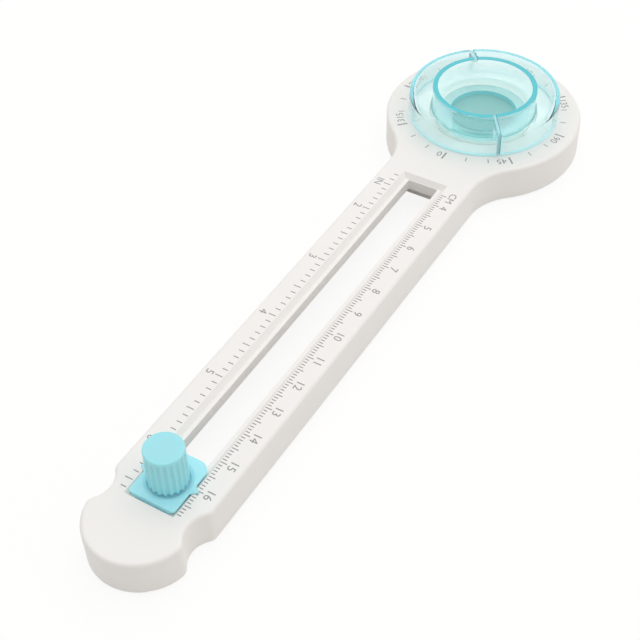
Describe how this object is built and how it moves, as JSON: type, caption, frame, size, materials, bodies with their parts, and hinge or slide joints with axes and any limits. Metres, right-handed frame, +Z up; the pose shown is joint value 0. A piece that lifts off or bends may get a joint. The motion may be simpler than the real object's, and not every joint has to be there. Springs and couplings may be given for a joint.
{
  "type": "circle cutter",
  "caption": "Ruled slotted arm that turns about a clear round turret, with a clamped slider whose sprung knob pushes a small blade down to cut circles.",
  "frame": {"origin": "on the table, where the turret's axis meets the underside of its pad", "axes": "+X along the arm from the turret to the handle, +Y towards the centimetre scale, +Z up along the turret's axis"},
  "size_m": [0.226, 0.0612, 0.0239],
  "materials": {
    "white_plastic": "satin moulded",
    "clear_cyan": "clear tinted",
    "blue_plastic": "satin moulded",
    "pad_rubber": "matt",
    "glide_plastic": "matt",
    "screw_steel": "plain",
    "nut_brass": "turned",
    "blade_steel": "ground"
  },
  "bodies": {
    "arm": {"arm_shell": "white_plastic", "arm_cover": "white_plastic", "cover_screws": "screw_steel", "glide_feet": "glide_plastic"},
    "turret": {"turret_dome": "clear_cyan", "turret_base": "clear_cyan", "base_pad": "pad_rubber", "glide_ring": "glide_plastic"},
    "slider": {"slider_plate": "blue_plastic", "return_spring": "blade_steel"},
    "clamp_sleeve": {"clamp_sleeve": "screw_steel"},
    "clamp_shoe": {"clamp_shoe": "blue_plastic", "shoe_nut": "nut_brass"},
    "plunger": {"plunger_stem": "screw_steel", "blade_holder": "blue_plastic", "blade": "blade_steel", "blade_clamp": "screw_steel", "blade_screw": "screw_steel"},
    "knob": {"knob": "blue_plastic", "knob_clip": "screw_steel", "drive_bush": "glide_plastic"}
  },
  "joints": [
    {"name": "turret_spin", "type": "hinge", "parent": "arm", "child": "turret", "pos_m": [0, 0, 0.0116], "axis": [0, 0, 1], "continuous": true},
    {"name": "slider_slide", "type": "slide", "parent": "arm", "child": "slider", "axis": [1, 0, 0], "range_m": [-0.12, 0]},
    {"name": "plunger_press", "type": "slide", "parent": "slider", "child": "plunger", "axis": [0, 0, -1], "range_m": [0, 0.0012], "stiffness_N_per_m": 300, "springref_m": -0.0015, "deforming": ["return_spring"]},
    {"name": "knob_turn", "type": "hinge", "parent": "plunger", "child": "knob", "pos_m": [0.1695, 0, 0.018], "axis": [0, 0, -1], "range_deg": [0, 180]},
    {"name": "clamp_turn", "type": "hinge", "parent": "slider", "child": "clamp_sleeve", "pos_m": [0.1695, 0, 0.01], "axis": [0, 0, -1], "range_deg": [0, 180]},
    {"name": "clamp_lift", "type": "slide", "parent": "slider", "child": "clamp_shoe", "axis": [0, 0, 1], "range_m": [0, 0.00035]}
  ],
  "couplings": [
    {"joint": "clamp_turn", "follows": "knob_turn", "ratio": 1},
    {"joint": "clamp_lift", "follows": "knob_turn", "m_per_rad": 0.0001114}
  ]
}
